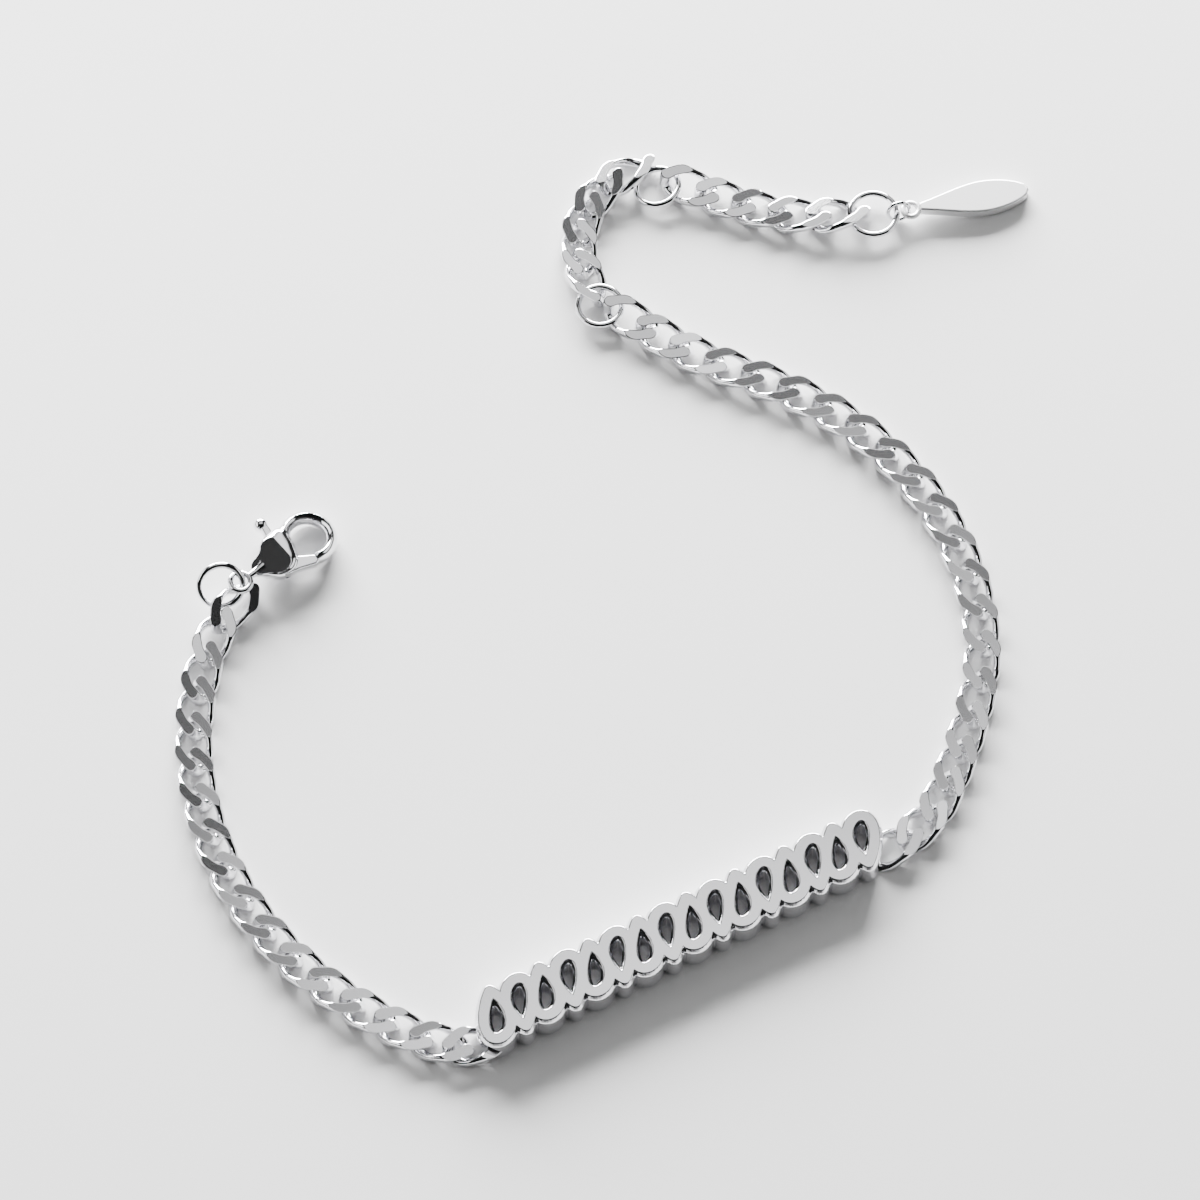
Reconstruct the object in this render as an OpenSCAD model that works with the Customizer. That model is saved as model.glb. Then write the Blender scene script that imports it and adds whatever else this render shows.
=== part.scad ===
// Pierced scroll plate bracelet with curb chain, lobster clasp and extender.
// It lies open on a flat surface, in millimetres, X right and Y away from the
// viewer. The origin is on the plate's back, at the middle of its band.

/* [Chain] */
// Distance from link to link along a taut run
link_pitch = 3.32; // [3.1:0.01:3.4]
// Half length of a link's centre line
link_a = 2.27; // [2.1:0.01:2.35]
// Half width of a link's centre line
link_b = 1.33; // [1.1:0.01:1.4]
// How square the centre line is at its ends (1 is an oval, less is squarer)
square_ends = 0.8; // [0.7:0.01:1]
// How square the centre line is at its sides
square_sides = 0.6; // [0.5:0.01:1]
// Half thickness of the wire in the plane of the link, at its sides
wire_in = 0.31; // [0.25:0.01:0.4]
// Half thickness of the wire in the plane of the link, at its ends
wire_end = 0.55; // [0.3:0.01:0.6]
// Half thickness of the wire across the plane of the link
wire_across = 0.45; // [0.35:0.01:0.5]
// Twist of each end of a link, in degrees
link_twist = 66; // [45:1:70]
// Height of the cut faces above and below the middle of a link
cut_half = 0.62; // [0.5:0.01:0.8]

/* [Plate] */
// Direction of the plate, in degrees from the X axis
plate_angle = 27.4; // [0:0.1:45]
// Distance between the two end loops
plate_span = 38.4; // [30:0.1:45]
// Full thickness of the plate
plate_thick = 2.5; // [1.5:0.1:3]
// Half width of a stroke at the wall
stroke_half = 0.7; // [0.6:0.01:0.8]
// Width of the bevel round the top edge
bevel_wide = 0.3; // [0.1:0.01:0.35]
// Height of the bevel round the top edge
bevel_high = 0.4; // [0.1:0.01:0.8]
// Distance between the eyelets of the plate
drop_step = 2.25; // [2.2:0.05:2.3]

/* [Rings] */
// Wire radius of the round jump rings
ring_wire = 0.28; // [0.2:0.01:0.35]
// Centre line radius of the rings in the chain
ring_radius = 1.85; // [1.5:0.05:2.2]
// Centre line radius of the ring at the free end
end_ring_radius = 2; // [1.6:0.05:2.3]
// Centre line radius of the ring at the clasp
clasp_ring_radius = 1.82; // [1.6:0.01:2.2]

/* [Clasp] */
// Half thickness of the clasp body
clasp_half = 0.92; // [0.7:0.01:1.1]
// Radius of the lever's pin
pin_radius = 0.28; // [0.2:0.01:0.35]
// Radial play of the lever on its pin
pin_play = 0.04; // [0.02:0.01:0.08]
// Half thickness of the lever
lever_half = 0.42; // [0.3:0.01:0.5]

/* [Tag] */
// Thickness of the end tag
tag_thick = 0.9; // [0.6:0.05:1.2]
// Length of the tag from the middle of its eye to its point
tag_length = 10.3; // [8:0.1:12]

/* [Hidden] */

// Turn in degrees from each link to the next, the first step lengths, and the roll of each link.
// Each run starts at the link soldered to the plate, or beside a ring.
long_turns = [18, 18, 4, 3, 4, 9, 9, 8, 7, 7, 7, 7, 7, 7, 6, 5, 3, -5, -6, -2];
long_slack = [3.1, 3.1, 3.05, 3.2, 3.25];
long_rolls = [for (i = [0:20]) i < 18 ? 0 : -4 * (i - 17)];
short_turns = [-22, -12, -5, -5, -6, -7, -6, -7, -6, -7, -6, -7, -7, -7, -8, -18];
short_slack = [for (i = [0:15]) i == 0 ? 2.8 : i < 14 ? 3.28 : i < 15 ? 3.25 : 3.2];
short_rolls = [for (i = [0:16]) i < 15 ? 0 : i < 16 ? -8 : -18];
low_turns = [-20, -21, -21, -21];
low_rolls = [12, 6, 0, -6, -12];
low_slack = [2.94, 2.92, 2.92, 2.92];
high_turns = [4, 3, 10, 11];
high_rolls = [12, 6, 0, -6, -12];
high_slack = [3.2, 3.25, 3.25, 3.25];

// Sums and steps along a run.
function total(v, n) = n <= 0 ? 0 : v[n - 1] + total(v, n - 1);
function step(slack, i) = i < len(slack) ? slack[i] : link_pitch;
function way(h) = [cos(h), sin(h)];
function spot(p, h, turns, slack, sense, i) = i == 0 ? p :
    spot(p, h, turns, slack, sense, i - 1)
    + sense * step(slack, i - 1) * way(h + total(turns, i - 1) + turns[i - 1] / 2);

// One link: a squarish oval centre line twisted about its long axis, an oval wire that is stoutest at
// the link's ends, and flats cut above and below.
ring_count = 16;
wire_count = 6;
function unit(v) = v / norm(v);
function bend(t) = -link_twist * cos(t);
function swell(v, e) = sign(v) * pow(abs(v), e);
function reach(t) = link_b * swell(sin(t), square_sides);
function mid(t) = [link_a * swell(cos(t), square_ends), reach(t) * cos(bend(t)), reach(t) * sin(bend(t))];
function along(t) = unit(mid(t + 2) - mid(t - 2));
function side(t) = unit(cross(along(t), [0, -sin(bend(t)), cos(bend(t))]));
function over(t) = cross(side(t), along(t));
function stout(t) = wire_in + (wire_end - wire_in) * abs(cos(t));
function cut(v) = [v[0], v[1], min(cut_half, max(-cut_half, v[2]))];
link_points = [for (j = [0:ring_count - 1])
    let (t = 360 * j / ring_count, c = mid(t), s = side(t), o = over(t))
    for (k = [0:wire_count - 1]) let (w = 30 + 360 * k / wire_count)
        cut(c + stout(t) * cos(w) * s + wire_across * sin(w) * o)];

// Turn a point by roll, then pitch, then heading.
function rolled(v, r) = [v[0], v[1] * cos(r) - v[2] * sin(r), v[1] * sin(r) + v[2] * cos(r)];
function pitched(v, p) = [v[0] * cos(p) - v[2] * sin(p), v[1], v[0] * sin(p) + v[2] * cos(p)];
function headed(v, h) = [v[0] * cos(h) - v[1] * sin(h), v[0] * sin(h) + v[1] * cos(h), v[2]];
function lift(p, r) = -min([for (v = link_points) pitched(rolled(v, r), p)[2]]);

// Poses of a run: [x, y, z, heading, pitch, roll] of each link, each resting on the surface.
function slope(p, h, turns, slack, sense, rolls, i) =
    let (n = len(turns), a = max(i - 1, 0), b = min(i + 1, n))
    sense * atan2(lift(0, rolls[b]) - lift(0, rolls[a]),
        norm(spot(p, h, turns, slack, sense, b) - spot(p, h, turns, slack, sense, a)));
function run(p, h, turns, slack, sense, rolls) = [for (i = [0:len(turns)])
    let (c = spot(p, h, turns, slack, sense, i), q = slope(p, h, turns, slack, sense, rolls, i))
        [c[0], c[1], lift(q, rolls[i]), h + total(turns, i), q, rolls[i]]];

// Corner and face lists of several links as one body list.
function placed(v, s) = [s[0], s[1], s[2]] + headed(pitched(rolled(v, s[5]), s[4]), s[3]);
per = ring_count * wire_count;
module links(poses) {
    polyhedron(
        points = [for (s = poses) for (v = link_points) placed(v, s)],
        faces = [for (m = [0:len(poses) - 1]) for (j = [0:ring_count - 1]) for (k = [0:wire_count - 1])
            let (a = m * per + j * wire_count + k, b = m * per + j * wire_count + (k + 1) % wire_count,
                c = m * per + ((j + 1) % ring_count) * wire_count + k,
                d = m * per + ((j + 1) % ring_count) * wire_count + (k + 1) % wire_count)
                each [[a, b, d], [a, d, c]]]);
}

// The four runs.
function on_plate(u, v) = u * way(plate_angle) + v * way(plate_angle + 90);
loop_drop = -1.05;
long_run = run(on_plate(plate_span / 2, loop_drop), 30, long_turns, long_slack, 1, long_rolls);
function flat2(s) = [s[0], s[1]];
short_level = run(on_plate(-plate_span / 2, loop_drop), 8, short_turns, short_slack, -1, short_rolls);
// The last link by the clasp dips its far end under the clasp's eye.
eye_dip = 5.2;
short_run = [for (i = [0:16]) let (s = short_level[i])
    i < 16 ? s : [s[0], s[1], lift(eye_dip, s[5]), s[3], eye_dip, s[5]]];
ring_1_at = flat2(long_run[20]) + 2.89 * way(154.2);
low_run = run(ring_1_at + 2.85 * way(113.3), 113, low_turns, low_slack, 1, low_rolls);
ring_2_at = flat2(low_run[4]) + 2.95 * way(-24.3);
high_run = run(ring_2_at + 2.82 * way(-3.5), -22.5, high_turns, high_slack, 1, high_rolls);
ring_3_at = flat2(high_run[4]) + 3 * way(1.5);

module wire_ring(radius, wire) {
    rotate_extrude($fn = 48) translate([radius, 0]) circle(r = wire, $fn = 16);
}
module leaning(at, z, azimuth, tilt) {
    translate([at[0], at[1], z]) rotate([0, 0, azimuth]) rotate([0, tilt, 0]) children();
}

module chain_long_side() {
    color([0.8, 0.8, 0.82]) links([for (i = [1:20]) long_run[i]]);
}
module chain_clasp_side() {
    color([0.8, 0.8, 0.82]) links([for (i = [1:16]) short_run[i]]);
}
module extender_chain_lower() {
    color([0.8, 0.8, 0.82]) links(low_run);
}
module extender_chain_upper() {
    color([0.8, 0.8, 0.82]) links(high_run);
}
module extender_ring_1() {
    color([0.85, 0.85, 0.87]) leaning(ring_1_at, 0.93, 0, 0) wire_ring(ring_radius, ring_wire);
}
module extender_ring_2() {
    color([0.85, 0.85, 0.87]) leaning(ring_2_at, 0.687, -26.1, -12) wire_ring(ring_radius, ring_wire);
}
module extender_ring_3() {
    color([0.85, 0.85, 0.87]) leaning(ring_3_at, 0.88, 0, 0) wire_ring(end_ring_radius, ring_wire);
}

// Plate: a row of leaning drop-shaped eyelets, point up and point down in turn, each joined to the next.
drop_count = 16;
drop_reach = 2.05;
drop_half = 1.46;
drop_points = 12;
function lean(u, v) = [u + 0.25 * v, v];
function drop(t) = [drop_half * sin(t) * pow(sin(t / 2), 0.8), drop_reach * cos(t)];
module eyelet(i) {
    u = (i - (drop_count - 1) / 2) * drop_step;
    s = i % 2 == 0 ? 1 : -1;
    polygon([for (k = [0:drop_points - 1]) let (d = drop(360 * k / drop_points))
        lean(u + s * d[0], s * d[1])]);
}
module pattern(r) {
    difference() {
        offset(r = r, $fn = 12) for (i = [0:drop_count - 1]) eyelet(i);
        for (i = [0:drop_count - 1]) offset(delta = -r) eyelet(i);
    }
}
module layer(low, high, r) {
    translate([0, 0, low]) linear_extrude(height = high - low) pattern(r);
}
module nameplate() {
    shoulder = plate_thick - bevel_high;
    color([0.82, 0.82, 0.84]) {
        rotate([0, 0, plate_angle]) {
            layer(0, shoulder, stroke_half);
            layer(shoulder, shoulder + bevel_high / 2, stroke_half - bevel_wide * 0.25);
            layer(shoulder + bevel_high / 2, plate_thick, stroke_half - bevel_wide * 0.75);
        }
        links([long_run[0], short_run[0]]);
    }
}

// Clasp: its own frame has the eye at the origin and the hook along X.
clasp_at = [-36.42, 31.5, 1.9];
clasp_heading = 39.9;
clasp_drop = 6.65;
hook_at = [7.1, -0.1];
pivot_at = [3.9, -1.4];
module clasp_frame() {
    translate(clasp_at) rotate([0, 0, clasp_heading]) rotate([0, clasp_drop, 0]) children();
}
module pebble(r, half) {
    for (m = [0, 1]) mirror([0, 0, m]) {
        cylinder(r = r, h = half * 0.5, $fn = 28);
        translate([0, 0, half * 0.5]) cylinder(r1 = r, r2 = r - half * 0.45, h = half * 0.5, $fn = 28);
    }
}
module lever_plan() {
    translate(pivot_at) circle(r = 0.6, $fn = 24);
    polygon([[3.5, -1.3], [4.4, 2.6], [4.5, 3.2], [5.2, 3.2], [5.1, 2.4], [4.7, 0.4], [5.25, -1.05],
        [6.4, -1.75], [6.52, -2.05], [6.45, -2.45], [6.1, -2.6], [4.7, -2.15], [3.9, -1.98]]);
}
module clasp_body() {
    color([0.84, 0.84, 0.86]) clasp_frame() {
        difference() {
            hull() {
                translate([2.1, 0.1, 0]) pebble(0.75, 0.7);
                translate([3.85, -0.3, 0]) pebble(1.75, clasp_half);
                translate([5.15, 1.25, 0]) pebble(0.95, clasp_half);
            }
            translate([0, 0, -lever_half - 0.08]) linear_extrude(height = 2 * lever_half + 0.16)
                for (t = [0:6:18]) translate(pivot_at) rotate(t) translate(-pivot_at)
                    offset(delta = 0.12) lever_plan();
        }
        translate([hook_at[0], hook_at[1], 0]) rotate([0, 0, -100]) rotate_extrude(angle = 228, $fn = 60)
            polygon([[1.5, -0.4], [1.5, 0.4], [1.68, 0.72], [2.05, 0.84], [2.35, 0.65], [2.5, 0.3],
                [2.5, -0.3], [2.35, -0.65], [2.05, -0.84], [1.68, -0.72]]);
        translate([pivot_at[0], pivot_at[1], -0.8]) cylinder(r = pin_radius, h = 1.6, $fn = 32);
        rotate([0, 90, 0]) translate([0, 0, 0.85]) cylinder(r = 0.34, h = 1.2, $fn = 24);
        wire_ring(0.84, 0.27);
    }
}
module clasp_lever() {
    color([0.78, 0.78, 0.8]) clasp_frame() {
        difference() {
            union() {
                translate([0, 0, -lever_half]) linear_extrude(height = 2 * lever_half) lever_plan();
                translate([4.8, 3.25, -0.6]) cylinder(r = 0.62, h = 1.2, $fn = 24);
            }
            translate([pivot_at[0], pivot_at[1], -1]) cylinder(r = pin_radius + pin_play, h = 2, $fn = 32);
        }
    }
}
module clasp_jump_ring() {
    color([0.85, 0.85, 0.87]) leaning([-38.04, 31.16], 1.905, -77.5, 46.8)
        wire_ring(clasp_ring_radius, ring_wire);
}

// Tag and the small ring that holds it.
tag_heading = 12;
tag_ring_at = ring_3_at + [2.15, 0.15];
tag_at = tag_ring_at + 1.06 * way(tag_heading);
module tag_ring() {
    color([0.85, 0.85, 0.87]) translate([tag_ring_at[0], tag_ring_at[1], 1.1]) rotate([0, 0, tag_heading])
        rotate([70, 0, 0]) wire_ring(0.92, 0.17);
}
module tag() {
    color([0.83, 0.83, 0.84]) translate([tag_at[0], tag_at[1], 0.95]) rotate([0, 0, tag_heading])
        rotate([0, 2.7, 0]) {
            wire_ring(0.66, 0.24);
            translate([0, 0, -tag_thick / 2]) linear_extrude(height = tag_thick) polygon(
                concat([for (s = [0:0.05:1]) [0.75 + (tag_length - 0.75) * s, tag_half(s)]],
                    [for (s = [1:-0.05:0]) [0.75 + (tag_length - 0.75) * s, -tag_half(s)]]));
        }
}
function tag_half(s) = s > 0.999 ? 0.05 :
    0.34 * (1 - s) + 1.5 * pow(sin(180 * pow(s, 1.25)), 0.7) * (1 - 0.5 * pow(1 - s, 2));

clasp_body();
clasp_lever();
clasp_jump_ring();
chain_clasp_side();
nameplate();
chain_long_side();
extender_ring_1();
extender_chain_lower();
extender_ring_2();
extender_chain_upper();
extender_ring_3();
tag_ring();
tag();
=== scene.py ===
import math

import bmesh
import bpy
import numpy as np
from bpy.props import FloatProperty, FloatVectorProperty, IntProperty, PointerProperty
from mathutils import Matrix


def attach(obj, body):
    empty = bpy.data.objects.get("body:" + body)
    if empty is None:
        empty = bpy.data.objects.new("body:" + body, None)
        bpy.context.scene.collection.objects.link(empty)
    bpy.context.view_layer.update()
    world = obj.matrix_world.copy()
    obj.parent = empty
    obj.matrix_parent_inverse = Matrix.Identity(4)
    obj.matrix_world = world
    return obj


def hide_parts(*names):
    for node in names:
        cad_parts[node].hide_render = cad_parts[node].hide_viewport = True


bl_info = {
    "name": "Pierced plate bracelet",
    "version": (1, 0, 0),
    "blender": (4, 5, 0),
    "location": "3D View > Sidebar > Bracelet",
    "description": "Curb chain bracelet with a pierced plate, lobster clasp, extender and tag",
    "category": "Object",
}

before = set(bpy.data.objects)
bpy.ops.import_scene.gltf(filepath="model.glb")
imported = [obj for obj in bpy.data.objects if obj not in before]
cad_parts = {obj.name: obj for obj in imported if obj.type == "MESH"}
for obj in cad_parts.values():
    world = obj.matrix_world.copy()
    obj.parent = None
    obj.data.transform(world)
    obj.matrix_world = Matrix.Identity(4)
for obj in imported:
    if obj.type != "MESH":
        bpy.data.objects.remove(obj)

MM = 0.001
# Farther, in millimetres, than anything here.
FAR = 1e9
BODY = "bracelet"
LEVER_BODY = "lever"

# The route of each run, as the chain lies, in degrees and millimetres: heading of its first link, whether
# the links follow forwards or backwards, the turn from link to link, the first steps where the chain is
# slack, and the roll of each link about its own length.
LONG_RUN = {
    "heading": 30, "sense": 1,
    "turns": [18, 18, 4, 3, 4, 9, 9, 8, 7, 7, 7, 7, 7, 7, 6, 5, 3, -5, -6, -2],
    "slack": [3.1, 3.1, 3.05, 3.2, 3.25],
    "rolls": [0] * 18 + [-4, -8, -12],
}
SHORT_RUN = {
    "heading": 8, "sense": -1,
    "turns": [-22, -12, -5, -5, -6, -7, -6, -7, -6, -7, -6, -7, -7, -7, -8, -18],
    "slack": [2.8] + [3.28] * 13 + [3.25, 3.2],
    "rolls": [0] * 15 + [-8, -18],
}
LOW_RUN = {
    "heading": 113, "sense": 1,
    "turns": [-20, -21, -21, -21],
    "slack": [2.94, 2.92, 2.92, 2.92],
    "rolls": [12, 6, 0, -6, -12],
}
HIGH_RUN = {
    "heading": -22.5, "sense": 1,
    "turns": [4, 3, 10, 11],
    "slack": [3.2, 3.25, 3.25, 3.25],
    "rolls": [12, 6, 0, -6, -12],
}
# Steps to a ring from the link before it, and on to the next link: length and direction.
TO_RING_1 = (2.89, 154.2)
TO_LOW_RUN = (2.85, 113.3)
TO_RING_2 = (2.95, -24.3)
TO_HIGH_RUN = (2.82, -3.5)
TO_RING_3 = (3, 1.5)
# How far the link at the clasp leans up its jump ring, in degrees.
EYE_DIP = 5.2
# Slope of the fine edge round a cut flat.
CUT_EDGE_SLOPE = math.tan(math.radians(12))
# A face with more corners than this is a cut flat, so its edge is kept crisp.
FLAT_CORNERS = 8
# Waves that give each link a small lean of its own: their step from link to link, and the pitch's share.
PITCH_WAVE = 2.4
ROLL_WAVE = 4.1
PITCH_SHARE = 0.6


# Sizes and finishes that a user would change.

def length(label, note, millimetres):
    return FloatProperty(name=label, description=note, default=millimetres * MM, subtype="DISTANCE",
                         precision=5)


def angle(label, note, degrees):
    return FloatProperty(name=label, description=note, default=math.radians(degrees), subtype="ANGLE")


def factor(label, note, value):
    return FloatProperty(name=label, description=note, default=value, min=0.0, max=1.0, subtype="FACTOR")


def colour(label, note, value):
    return FloatVectorProperty(name=label, description=note, default=value, size=3, min=0.0, max=1.0,
                               subtype="COLOR")


class ChainSizes(bpy.types.PropertyGroup):
    """Sizes of one curb link and the run it belongs to"""
    pitch: length("Pitch", "Distance from link to link along a taut run", 3.32)
    half_length: length("Half length", "Half length of a link's centre line", 2.27)
    half_width: length("Half width", "Half width of a link's centre line", 1.33)
    square_ends: factor("Squareness of the ends", "1 makes the centre line an oval, less is squarer", 0.8)
    square_sides: factor("Squareness of the sides", "1 makes the centre line an oval, less is squarer", 0.6)
    wire_in: length("Wire at the sides", "Half thickness in the plane of the link, at its sides", 0.31)
    wire_end: length("Wire at the ends", "Half thickness in the plane of the link, at its ends", 0.55)
    wire_across: length("Wire across", "Half thickness of the wire across the plane of the link", 0.45)
    twist: angle("Twist", "Twist of each end of a link", 66)
    cut_height: length("Cut height", "Height of the cut faces from the middle of the link", 0.62)
    cut_lean: angle("Cut lean", "Lean of each cut face out from the middle of the link", 0.35)
    cut_edge: length("Cut edge", "Width of the fine edge round a cut face", 0.07)
    wobble: angle("Wobble", "How far a link may lean from the level", 0.6)
    rings: IntProperty(name="Rings", description="Cross-sections round a link", default=72, min=16)
    sides: IntProperty(name="Sides", description="Sides of the wire", default=20, min=6)


class PlateSizes(bpy.types.PropertyGroup):
    """Sizes of the pierced plate"""
    turn: angle("Direction", "Direction of the plate from the X axis", 27.4)
    span: length("Span", "Distance between the end loops", 38.4)
    thickness: length("Thickness", "Full thickness", 2.5)
    stroke_half: length("Half stroke", "Half width of a stroke at the wall", 0.7)
    bevel_width: length("Bevel width", "Width of the bevel round the top edge", 0.3)
    bevel_height: length("Bevel height", "Height of the bevel round the top edge", 0.4)
    drop_step: length("Eyelet step", "Distance between eyelets", 2.25)
    drop_half: length("Eyelet half width", "Half width that the drop outline is drawn from", 1.46)
    drop_reach: length("Eyelet reach", "Half height of an eyelet's line", 2.05)
    drop_count: IntProperty(name="Eyelets", description="Number of eyelets", default=16, min=2)
    loop_drop: length("Loop offset", "How far the end loops lie below the middle of the band", -1.05)
    cell: length("Grid cell", "Fineness of the plate's mesh", 0.08)


class RingSizes(bpy.types.PropertyGroup):
    """Sizes of the round jump rings"""
    wire: length("Wire", "Wire radius", 0.28)
    radius: length("Chain ring", "Centre line radius of the rings in the chain", 1.85)
    end_radius: length("End ring", "Centre line radius of the ring at the free end", 2.0)
    clasp_radius: length("Clasp ring", "Centre line radius of the ring at the clasp", 1.82)
    tag_radius: length("Tag ring", "Centre line radius of the ring in the tag's eye", 0.92)
    tag_wire: length("Tag ring wire", "Wire radius of the ring in the tag's eye", 0.17)


class ClaspSizes(bpy.types.PropertyGroup):
    """Sizes of the lobster clasp"""
    heading: angle("Heading", "Direction from the clasp's eye to its hook", 39.9)
    drop: angle("Drop", "How far the hook end dips", 6.65)
    half: length("Half thickness", "Half thickness of the body", 0.92)
    round_over: length("Round-over", "Width of the rounded edge of the body", 0.85)
    hook_radius: length("Hook radius", "Centre line radius of the hook", 2.0)
    hook_half: length("Hook half width", "Half width of the hook's bar", 0.5)
    lever_half: length("Lever half thickness", "Half thickness of the lever", 0.42)
    slot_half: length("Slot half height", "Half height of the slot that the lever turns in", 0.5)
    facet_tilt: angle("Facet tilt", "Slope of the flat on the body toward the eye", 12)
    facet_end: length("Facet end", "Where the flat runs out, from the middle of the eye", 4.5)
    cell: length("Grid cell", "Fineness of the clasp's mesh", 0.06)


class TagSizes(bpy.types.PropertyGroup):
    """Sizes of the end tag"""
    heading: angle("Heading", "Direction of the tag", 12)
    drop: angle("Drop", "How far the point dips", 2.7)
    thickness: length("Thickness", "Thickness of the leaf", 0.9)
    reach: length("Length", "From the middle of the eye to the point", 10.3)
    edge: length("Edge", "Width of the polished bevel round the leaf", 0.16)
    cell: length("Grid cell", "Fineness of the tag's mesh", 0.08)


class FinishSettings(bpy.types.PropertyGroup):
    """Colours and gloss of the metal"""
    metal: colour("Metal", "Colour of the polished metal", (0.86, 0.86, 0.87))
    tag_metal: colour("Tag metal", "Colour of the satin tag", (0.84, 0.84, 0.85))
    polish: factor("Polish roughness", "Roughness of the polished metal", 0.025)
    satin: factor("Satin roughness", "Roughness of the tag's face", 0.34)


class StageSettings(bpy.types.PropertyGroup):
    """Camera, lights and floor"""
    tilt: angle("Camera tilt", "Angle of the view from straight down", 26)
    distance: length("Camera distance", "From the camera to the middle of the picture", 708.3)
    middle_x: length("Picture middle X", "Point of the surface at the picture's middle", -6.52)
    middle_y: length("Picture middle Y", "Point of the surface at the picture's middle", 30.76)
    lens: FloatProperty(name="Lens", description="Focal length in millimetres", default=255.0, min=1.0)
    floor: colour("Floor", "Colour of the surface", (0.78, 0.78, 0.78))
    key_power: FloatProperty(name="Back light", description="Power of the main light", default=50.0,
                             subtype="POWER")
    side_power: FloatProperty(name="Side lights", description="Power of the left light; the right has half",
                              default=0.3, subtype="POWER")
    sky: FloatProperty(name="Surround", description="Brightness of the surround", default=0.8, min=0.0)


# Shared mesh making, in millimetres.

def mm(value):
    """Millimetres, from a size in metres."""
    return value / MM


def rotation(axis, degrees):
    c, s = math.cos(math.radians(degrees)), math.sin(math.radians(degrees))
    if axis == "x":
        return np.array([[1, 0, 0], [0, c, -s], [0, s, c]])
    if axis == "y":
        return np.array([[c, 0, s], [0, 1, 0], [-s, 0, c]])
    return np.array([[c, -s, 0], [s, c, 0], [0, 0, 1]])


def joined(parts):
    """One point array and face list from several (points, faces) pairs."""
    points, faces, start = [], [], 0
    for part_points, part_faces in parts:
        points.append(np.asarray(part_points, float))
        faces.extend([tuple(start + i for i in face) for face in part_faces])
        start += len(part_points)
    return np.concatenate(points), faces


def new_piece(name, points, faces, material, slot, replaced, body=BODY, sharp=30):
    """A mesh piece, given in millimetres, that rides on a body and stands for CAD nodes."""
    mesh = bpy.data.meshes.new(name)
    mesh.from_pydata((np.asarray(points, float) * MM).tolist(), [], faces)
    mesh.validate()
    mesh.shade_smooth()
    mesh.set_sharp_from_angle(angle=math.radians(sharp))
    flats = {key for face in mesh.polygons if face.loop_total > FLAT_CORNERS for key in face.edge_keys}
    for edge in mesh.edges:
        edge.use_edge_sharp |= edge.key in flats
    mesh.materials.append(material)
    piece = bpy.data.objects.new(name, mesh)
    bpy.context.scene.collection.objects.link(piece)
    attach(piece, body)
    if replaced:
        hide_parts(*replaced)
    return piece


def relief(xs, ys, field, levels):
    """Cuts a grid's triangles along levels of a field.

    Returns points (x, y, value), faces, and the edges of the rim at the last level."""
    points, index, faces, rim = [], {}, [], []

    def corner(a):
        if a not in index:
            index[a] = len(points)
            points.append((xs[a[0]], ys[a[1]], field[a]))
        return index[a]

    def crossing(a, b, level):
        key = (min(a, b), max(a, b), level)
        if key not in index:
            p, q = key[0], key[1]
            t = (level - field[p]) / (field[q] - field[p])
            index[key] = len(points)
            points.append((xs[p[0]] + t * (xs[q[0]] - xs[p[0]]),
                           ys[p[1]] + t * (ys[q[1]] - ys[p[1]]), level))
        return index[key]

    def add(corners):
        values = [field[a] for a in corners]
        for low, high in zip(levels[:-1], levels[1:]):
            if max(values) <= low or min(values) >= high:
                continue
            face = []
            for k in range(3):
                a, b, fa, fb = corners[k], corners[(k + 1) % 3], values[k], values[(k + 1) % 3]
                if low <= fa <= high:
                    face.append(corner(a))
                cuts = [v for v in (low, high) if min(fa, fb) < v < max(fa, fb)]
                face.extend(crossing(a, b, v) for v in (cuts if fa < fb else cuts[::-1]))
            face = [v for k, v in enumerate(face) if v != face[k - 1]]
            if len(face) > 2:
                faces.append(tuple(face))
                if high == levels[-1]:
                    rim.extend((a, b) for a, b in zip(face, face[1:] + face[:1])
                               if points[a][2] == high and points[b][2] == high)

    inside = field < levels[-1]
    for i in range(len(xs) - 1):
        for j in np.nonzero(inside[i, :-1] | inside[i, 1:] | inside[i + 1, :-1] | inside[i + 1, 1:])[0]:
            j = int(j)
            add([(i, j), (i + 1, j), (i + 1, j + 1)])
            add([(i, j), (i + 1, j + 1), (i, j + 1)])
    return np.array(points), faces, rim


def walled(points, faces, rim, top, bottom):
    """A closed solid between two heights over one plan, with upright walls."""
    n = len(points)
    upper = np.column_stack([points[:, :2], top])
    lower = np.column_stack([points[:, :2], np.broadcast_to(bottom, n)])
    lower_faces = [tuple(i + n for i in reversed(face)) for face in faces]
    walls = [(b, a, a + n, b + n) for a, b in rim]
    return np.concatenate([upper, lower]), faces + lower_faces + walls


def pillow(points, faces, height):
    """A closed solid, alike above and below, that meets itself at its rim."""
    z = height(points[:, 2])
    top = np.column_stack([points[:, :2], z])
    n = len(points)
    on_rim = z <= 1e-9
    under_index = np.where(on_rim, np.arange(n), np.cumsum(~on_rim) - 1 + n)
    under = np.column_stack([points[~on_rim, :2], -z[~on_rim]])
    under_faces = [tuple(int(under_index[i]) for i in reversed(face)) for face in faces]
    return np.concatenate([top, under]), faces + under_faces


def distance_to_line(px, py, line):
    """Distance from every grid point to an open or closed line of points."""
    best = np.full(px.shape, FAR)
    for (ax, ay), (bx, by) in zip(line[:-1], line[1:]):
        dx, dy = bx - ax, by - ay
        t = np.clip(((px - ax) * dx + (py - ay) * dy) / (dx * dx + dy * dy), 0, 1)
        best = np.minimum(best, np.hypot(px - ax - t * dx, py - ay - t * dy))
    return best


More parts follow.
